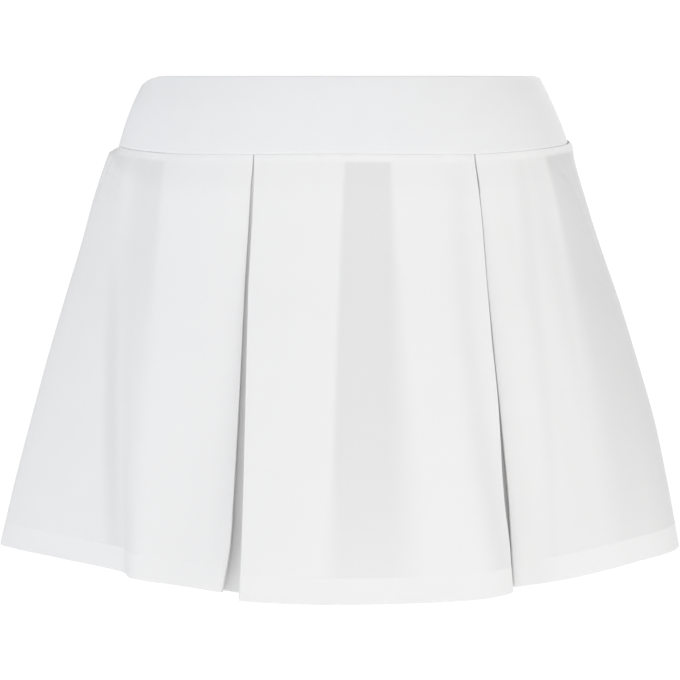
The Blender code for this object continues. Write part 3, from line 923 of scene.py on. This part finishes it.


# How much painted light the cloth's layers get, where 1 is a whole second layer behind it: by the
# turned-up hem, by the allowances at the waist and at a side seam, and by layers that lie close high
# up, where painted light also lifts the upper panels. The waist strip's value also holds a painted
# highlight under the seam, and a line of painted shade runs along each side seam.
HEM_BACKING = 1.04
WAIST_ALLOWANCE_AND_HIGHLIGHT = 1.45
WAIST_BACKING_DEPTH = 5.5
WAIST_BACKING_BLUR = 1.5
SIDE_BACKING = 0.6
SIDE_SEAM_SHADE = 1.1
SIDE_SEAM_SHADE_WIDTH = 1.3
UPPER_PAINTED_LIGHT = 0.3
UPPER_PAINTED_LIGHT_SHARE = 0.35


def make_panel(name, line, start_border, end_border):
    """Sews a skirt piece from its line of points and the painted shade of its lone layers at each
    level, and paints the light and shade of its seams, allowances and hem.
    """
    shares = spaced(SKIRT_LENGTH, True, True)
    turned = 1.0 - HEM_WIDTH_SHARE + np.array(HEM_STEP) / SKIRT_LENGTH
    shares = np.unique(np.concatenate((shares, turned)))
    levels = [line(share) for share in shares]
    points = np.array([level[0] for level in levels])
    painted_shade = np.array([level[1] for level in levels])
    down, along = steps_along(points, 0), steps_along(points, 1)
    turn_up = ease((shares - turned[0]) / (turned[-1] - turned[0]))[:, None] + np.zeros_like(down)
    seam = np.full_like(down, FAR_OFF)
    if start_border == SEWN:
        seam = along
    if end_border == SEWN:
        seam = np.minimum(seam, along[:, -1:] - along)
    dip = SIDE_SEAM_DIP * bell(seam, SIDE_SEAM_DIP_WIDTH)
    beside = 1.0 - past(seam - SIDE_ALLOWANCE, SIDE_ALLOWANCE_BLUR)
    right = CLOTH / 2.0 - dip + HEM_LIFT * turn_up
    wrong = CLOTH / 2.0 + dip + HEM_TURN_UP * np.maximum(turn_up, beside)
    # Painted light and shade: lighter where layers back the cloth, a painted highlight in the waist
    # strip, painted shade along the side seams.
    allowance = 1.0 - past(down - WAIST_BACKING_DEPTH, WAIST_BACKING_BLUR)
    upper = UPPER_PAINTED_LIGHT * (1.0 - ease(shares / UPPER_PAINTED_LIGHT_SHARE))[:, None]
    painted_layer_shade = np.maximum(1.0 - painted_shade + upper, SIDE_BACKING * beside)
    painted_layer_shade = np.maximum(painted_layer_shade, WAIST_ALLOWANCE_AND_HIGHLIGHT * allowance)
    painted_layer_shade = np.maximum(painted_layer_shade, HEM_BACKING * turn_up)
    painted_layer_shade = painted_layer_shade - SIDE_SEAM_SHADE * bell(seam, SIDE_SEAM_SHADE_WIDTH)
    borders = (SEWN, LOOSE, start_border, end_border)
    piece = sew(name + "_cloth", points, right, wrong, borders, painted_layer_shade, skirt_weave)
    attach(piece, "root")
    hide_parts(name)
    return piece


def centre_line(share):
    """The centre panel from end to end: left return, face, right return."""
    first = edge_angle("left_centre", share, CENTRE_FOLDS[0])
    last = edge_angle("right_centre", share, CENTRE_FOLDS[-1])
    shares = spaced(FACE_WIDTH, False, False)
    face = hung(*face_line(CENTRE_FOLDS, first, last, share, shares), share)
    left_fold = pressed_fold(face[0], face[1], share, -1)
    right_fold = pressed_fold(face[-1], face[-2], share, 1)
    left_inner, right_inner = fold_place("left_inner", share), fold_place("right_inner", share)
    left = return_line(left_fold[-1], share, left_inner, LEFT_CENTRE_RETURN)
    right = return_line(right_fold[-1], share, right_inner, RIGHT_CENTRE_RETURN)
    points = np.concatenate((left[::-1], left_fold[::-1], face, right_fold, right))
    painted_shade = np.zeros(len(points))
    start = len(left) + len(left_fold)
    # Painted shade on the face's lone layer, and a painted shade strip along a soft fold.
    lone_end = right_inner - CENTRE_LONE_NARROWING * (1.0 - share)
    lone = single(CENTRE_LONE, face, left_inner, lone_end, share)
    painted_shade[start : start + len(face)] = np.maximum(lone, painted_strip(CENTRE_PAINTED_SHADE_STRIP, face, share))
    return points, painted_shade


skirt_weave = weave_finish()
centre_panel = make_panel("centre_front_panel", centre_line, LOOSE, LOOSE)

# ---------------------------------------------------------------------------------------
# The left front panel, from the side seam to the left pleat, where it turns back on a
# pressed edge. It is cut flared, so its lower half swings in one deep soft fold.
LEFT_FOLDS = (
    Fold(0.00, 0.00, 1.0, 3.0),
    Fold(0.25, 0.10, 0.5, 1.0),
    Fold(0.42, 0.18, 1.0, 3.6),
    Fold(0.47, 0.225, 1.0, 3.2),
    Fold(0.51, 0.265, -1.0, -7.5),
    Fold(0.56, 0.32, -2.5, -12.0),
    Fold(0.62, 0.40, -3.0, -14.0),
    Fold(0.72, 0.58, -3.5, -14.5),
    Fold(0.80, 0.70, -3.0, -11.0),
    Fold(0.88, 0.82, -1.5, -6.0),
    Fold(0.95, 0.92, 0.0, -1.0),
    Fold(0.98, 0.98, 0.0, 0.0),
    Fold(1.00, 1.00, 0.0, 0.0),
)
LEFT_SIDE_RETURN = ReturnEnd(-1.8, -0.9)
LEFT_LONE = (
    Lone(0.00, 0.58, 1.0, 3.0),
    Lone(0.20, 0.57, 1.0, 5.0),
    Lone(0.50, 0.38, 1.0, 12.0),
    Lone(0.80, 0.30, 1.0, 14.0),
    Lone(1.00, 0.25, 1.0, 14.0),
)
# Painted light: the lone layer's painted shade fades out towards the left side seam, more below than
# at the top.
LEFT_LONE_FADE_START = 5.0
LEFT_LONE_FADE_WIDTH = 35.0
LEFT_LONE_FADE_AT_TOP = 0.2
LEFT_LONE_FADE_BELOW = 0.6
LEFT_LONE_FADE_SHARE = 0.3
# Painted shade along the left panel's deep fold.
LEFT_PAINTED_SHADE_STRIP = (
    PaintedStrip(0.00, -150.0, 0.0, 7.0),
    PaintedStrip(0.25, -150.5, 0.3, 7.0),
    PaintedStrip(0.40, -151.5, 0.7, 6.5),
    PaintedStrip(0.55, -152.0, 0.85, 6.0),
    PaintedStrip(0.70, -152.0, 0.85, 6.5),
    PaintedStrip(0.90, -150.0, 0.70, 8.0),
    PaintedStrip(1.00, -148.0, 0.65, 8.0),
)
# A strip of painted light high on the left panel, gone a third of the way down.
LEFT_PAINTED_LIGHT_STRIP = (
    PaintedStrip(0.00, -140.5, 0.25, 5.5),
    PaintedStrip(0.08, -141.5, 0.36, 5.5),
    PaintedStrip(0.20, -145.0, 0.16, 6.0),
    PaintedStrip(0.30, -147.0, 0.00, 6.0),
    PaintedStrip(1.00, -147.0, 0.00, 6.0),
)
# Painted light beside each pressed pleat edge, towards the hem, where the proud edge next to it
# shades the panel.
PRESSED_EDGE_PAINTED_LIGHT = 0.45
PRESSED_EDGE_WIDTH = 26.0
PRESSED_EDGE_POWER = 1.5


def painted_edge_light(points, edge, share):
    """Painted light beside a pressed edge, towards the hem."""
    away = np.abs(points[:, 0] - edge[0]) / PRESSED_EDGE_WIDTH
    return PRESSED_EDGE_PAINTED_LIGHT * share**PRESSED_EDGE_POWER * (1.0 - ease(away))


def side_seam_down(side, share):
    """Angle of a side seam at one share of the way down the skirt."""
    angle = side_seam(0.0, side)
    for _ in range(ROUNDS):
        angle = side_seam(drop_at(angle, share), side)
    return float(angle)


def left_line(share):
    """The left front panel from the side seam to the return's inner end."""
    last = edge_angle("left_side", share, LEFT_FOLDS[0])
    first = side_seam_down(-1, share)
    shares = spaced(FACE_WIDTH, False, True)
    face = hung(*face_line(LEFT_FOLDS, last, first, share, shares), share)[::-1]
    fold = pressed_fold(face[-1], face[-2], share, 1)
    inner = fold_place("left_outer", share)
    back = return_line(fold[-1], share, inner, LEFT_SIDE_RETURN)
    # Painted shade of the lone layer, lightened towards the side seam by painted light, with a
    # painted shade strip, a painted light strip and painted light by the pressed edge.
    toward_side = ease((inner - LEFT_LONE_FADE_START - face[:, 0]) / LEFT_LONE_FADE_WIDTH)
    below = ease(share / LEFT_LONE_FADE_SHARE)
    fade = mix(LEFT_LONE_FADE_AT_TOP, LEFT_LONE_FADE_BELOW, below) * toward_side
    painted_shade = single(LEFT_LONE, face, -FAR_OFF, inner, share) * (1.0 - fade)
    painted_shade = np.maximum(painted_shade, painted_strip(LEFT_PAINTED_SHADE_STRIP, face, share))
    painted_shade = painted_shade - painted_strip(LEFT_PAINTED_LIGHT_STRIP, face, share) - painted_edge_light(face, face[-1], share)
    return np.concatenate((face, fold, back)), np.pad(painted_shade, (0, len(fold) + len(back)))


left_panel = make_panel("left_front_panel", left_line, SEWN, LOOSE)

# ---------------------------------------------------------------------------------------
# The right front panel, cut and sewn as the left one. It rounds away from the front, and a
# soft crease runs down it from under the waistband.
RIGHT_FOLDS = (
    Fold(0.00, 0.00, -3.0, -14.4),
    Fold(0.10, 0.06, -2.6, -11.4),
    Fold(0.25, 0.16, -2.2, -8.0),
    Fold(0.45, 0.30, -2.0, -5.6),
    Fold(0.60, 0.42, -1.5, -5.0),
    Fold(0.70, 0.52, -0.5, -2.2),
    Fold(0.80, 0.66, 0.0, 0.6),
    Fold(0.90, 0.83, 0.0, 0.0),
    Fold(0.98, 0.98, 0.0, 0.0),
    Fold(1.00, 1.00, 0.0, 0.0),
)
RIGHT_SIDE_RETURN = ReturnEnd(-4.8, -10.5)
# Painted shade of the right panel's lone layer, strongest under the waistband where the panel turns
# away from the light.
RIGHT_LONE = (
    Lone(0.00, 1.18, 3.0, 1.0),
    Lone(0.20, 1.02, 7.0, 1.0),
    Lone(0.50, 0.85, 18.0, 1.0),
    Lone(0.75, 0.75, 30.0, 1.0),
    Lone(1.00, 0.45, 34.0, 1.0),
)
# Painted shade of a soft fold down the right panel.
RIGHT_PAINTED_SHADE_STRIP = (
    PaintedStrip(0.00, 116.0, 0.15, 5.0),
    PaintedStrip(0.12, 119.0, 0.40, 5.5),
    PaintedStrip(0.26, 122.7, 0.45, 5.5),
    PaintedStrip(0.47, 129.5, 0.35, 6.0),
    PaintedStrip(0.69, 135.7, 0.35, 6.0),
    PaintedStrip(1.00, 141.0, 0.30, 7.0),
)
# A broad band of painted shade towards the right side.
RIGHT_BROAD_PAINTED_SHADE = (
    PaintedStrip(0.00, 130.0, 0.22, 20.0),
    PaintedStrip(0.25, 138.0, 0.12, 20.0),
    PaintedStrip(0.50, 150.0, 0.22, 22.0),
    PaintedStrip(1.00, 162.0, 0.32, 30.0),
)


def right_line(share):
    """The right front panel from the return's inner end to the side seam."""
    first = edge_angle("right_side", share, RIGHT_FOLDS[0])
    last = side_seam_down(1, share)
    shares = spaced(FACE_WIDTH, False, True)
    face = hung(*face_line(RIGHT_FOLDS, first, last, share, shares), share)
    fold = pressed_fold(face[0], face[1], share, -1)
    inner = fold_place("right_outer", share)
    back = return_line(fold[-1], share, inner, RIGHT_SIDE_RETURN)
    painted_shade = single(RIGHT_LONE, face, inner, FAR_OFF, share)
    for line in (RIGHT_PAINTED_SHADE_STRIP, RIGHT_BROAD_PAINTED_SHADE):
        painted_shade = np.maximum(painted_shade, painted_strip(line, face, share))
    painted_shade = painted_shade - painted_edge_light(face, face[0], share)
    return np.concatenate((back[::-1], fold[::-1], face)), np.pad(painted_shade, (len(fold) + len(back), 0))


right_panel = make_panel("right_front_panel", right_line, LOOSE, SEWN)

# ---------------------------------------------------------------------------------------
# The underlays of the two box pleats: a piece of the same cloth behind each pleat, that
# closes it at the back and shows in its open foot.
Layered = namedtuple("Layered", "across half_out hem_out")
LEFT_UNDERLAY = (
    Layered(0.00, -3.8, -3.0),
    Layered(0.25, -4.4, -5.6),
    Layered(0.50, -3.0, -5.0),
    Layered(0.75, -1.6, 1.5),
    Layered(1.00, 1.0, 8.0),
)
RIGHT_UNDERLAY = (
    Layered(0.00, -1.8, -5.2),
    Layered(0.25, -4.6, -12.0),
    Layered(0.50, -7.2, -20.5),
    Layered(0.75, -7.2, -17.0),
    Layered(1.00, -6.6, -12.6),
)
UNDERLAY_WIDTH = 130.0
UNDERLAY_ROUNDS = 3


def underlay_line(layers, first_column, last_column, share):
    """An underlay between the two inner folds of its pleat."""
    top_out = -CLOTH / 2.0 - 2.0 * LAYER
    ends = []
    for column, row in ((first_column, layers[0]), (last_column, layers[-1])):
        out = opening(top_out, row.half_out, row.hem_out, share)
        angle = FRONT_TURN
        for _ in range(UNDERLAY_ROUNDS):
            angle = angle_at(fold_place(column, share), drop_at(angle, share), out)
        ends.append(angle)
    across = spaced(UNDERLAY_WIDTH, True, True)
    half, hem = read(layers, across, "half_out"), read(layers, across, "hem_out")
    points = hung(mix(*ends, across), opening(top_out, half, hem, share), share)
    return points, np.zeros(len(points))


left_underlay = make_panel(
    "left_pleat_underlay",
    lambda share: underlay_line(LEFT_UNDERLAY, "left_outer", "left_inner", share),
    LOOSE,
    LOOSE,
)
right_underlay = make_panel(
    "right_pleat_underlay",
    lambda share: underlay_line(RIGHT_UNDERLAY, "right_inner", "right_outer", share),
    LOOSE,
    LOOSE,
)

# ---------------------------------------------------------------------------------------
# The back panel: one wide flared piece from side seam to side seam, with no pleats, that
# falls in low even folds.
BACK_FOLDS = (
    Fold(0.00, 0.00, 0.0, 0.0),
    Fold(0.01, 0.01, 0.0, 0.0),
    Fold(0.08, 0.09, -1.5, -5.5),
    Fold(0.19, 0.18, 3.0, 8.0),
    Fold(0.30, 0.28, -4.0, -9.0),
    Fold(0.40, 0.39, 3.5, 9.0),
    Fold(0.50, 0.51, -3.0, -7.0),
    Fold(0.60, 0.62, 4.0, 10.0),
    Fold(0.71, 0.73, -4.2, -9.5),
    Fold(0.82, 0.83, 2.5, 7.0),
    Fold(0.92, 0.92, -1.0, -4.5),
    Fold(0.99, 0.99, 0.0, 0.0),
    Fold(1.00, 1.00, 0.0, 0.0),
)
BACK_WIDTH = 480.0
# The back panel's tone: half the painted shade of a lone layer.
BACK_LONE = 0.5


def back_line(share):
    """The back panel from the right side seam round to the left one."""
    first, last = side_seam_down(1, share), side_seam_down(-1, share) + 360.0
    shares = spaced(BACK_WIDTH, True, True)
    face = hung(*face_line(BACK_FOLDS, first, last, share, shares), share)
    return face, np.full(len(face), BACK_LONE)


back_panel = make_panel("back_panel", back_line, SEWN, SEWN)

# ---------------------------------------------------------------------------------------
# The waist seam's allowance: the raw edges of the band and of the skirt, trimmed together
# and wrapped in overlock thread. It runs all round the inside, just under the band.
ALLOWANCE_ABOVE = 1.5
ALLOWANCE_DEPTH = 10.0
ALLOWANCE_ROWS = (0.0, 0.03, 0.08, 0.15, 0.25, 0.36, 0.48, 0.6, 0.72, 0.84, 0.93, 0.98, 1.0)
ALLOWANCE_COLUMNS = 1262
ALLOWANCE_TOP_OUT = -2.2
ALLOWANCE_OUT = -2.95
ALLOWANCE_BEND = 3.0
ALLOWANCE_THICKNESS = 0.9
# The allowance's tone: half the painted light of a backed layer.
ALLOWANCE_BACKING = 0.5
WAVE_HEIGHT = 0.12
WAVE_REACH = 4.0
WAVES = 31.0
THREAD_PITCH = 2.6
THREAD_HEIGHT = 0.14
THREAD_SLANT = 0.12

ring_angles = np.linspace(seam_left, seam_left + 360.0, ALLOWANCE_COLUMNS)
ring_seam = read(WAIST_SEAM, wrapped(ring_angles), "drop")
ring_points = []
for depth in ALLOWANCE_DEPTH * np.array(ALLOWANCE_ROWS):
    ring_drop = ring_seam - ALLOWANCE_ABOVE + depth
    ring_wave = WAVE_HEIGHT * np.sin(np.radians(ring_angles) * WAVES)
    ring_out = mix(ALLOWANCE_TOP_OUT, ALLOWANCE_OUT, ease(depth / ALLOWANCE_BEND))
    ring_out = ring_out + ring_wave * ease((depth - ALLOWANCE_BEND) / WAVE_REACH)
    ring_points.append(standing(spot(ring_angles, ring_drop, ring_out, BAND_SECTIONS), ring_drop))
ring_points = np.array(ring_points)
ring_along, ring_down = steps_along(ring_points, 1), steps_along(ring_points, 0)
thread = np.sin((ring_along / THREAD_PITCH + ring_down * THREAD_SLANT) * math.tau)
ring_half = ALLOWANCE_THICKNESS / 2.0 + THREAD_HEIGHT * thread
ring = sew(
    "waist_seam_allowance",
    ring_points,
    ring_half,
    ring_half,
    (LOOSE, LOOSE, SEWN, SEWN),
    np.full(ring_half.shape, ALLOWANCE_BACKING),
    skirt_weave,
)
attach(ring, "root")
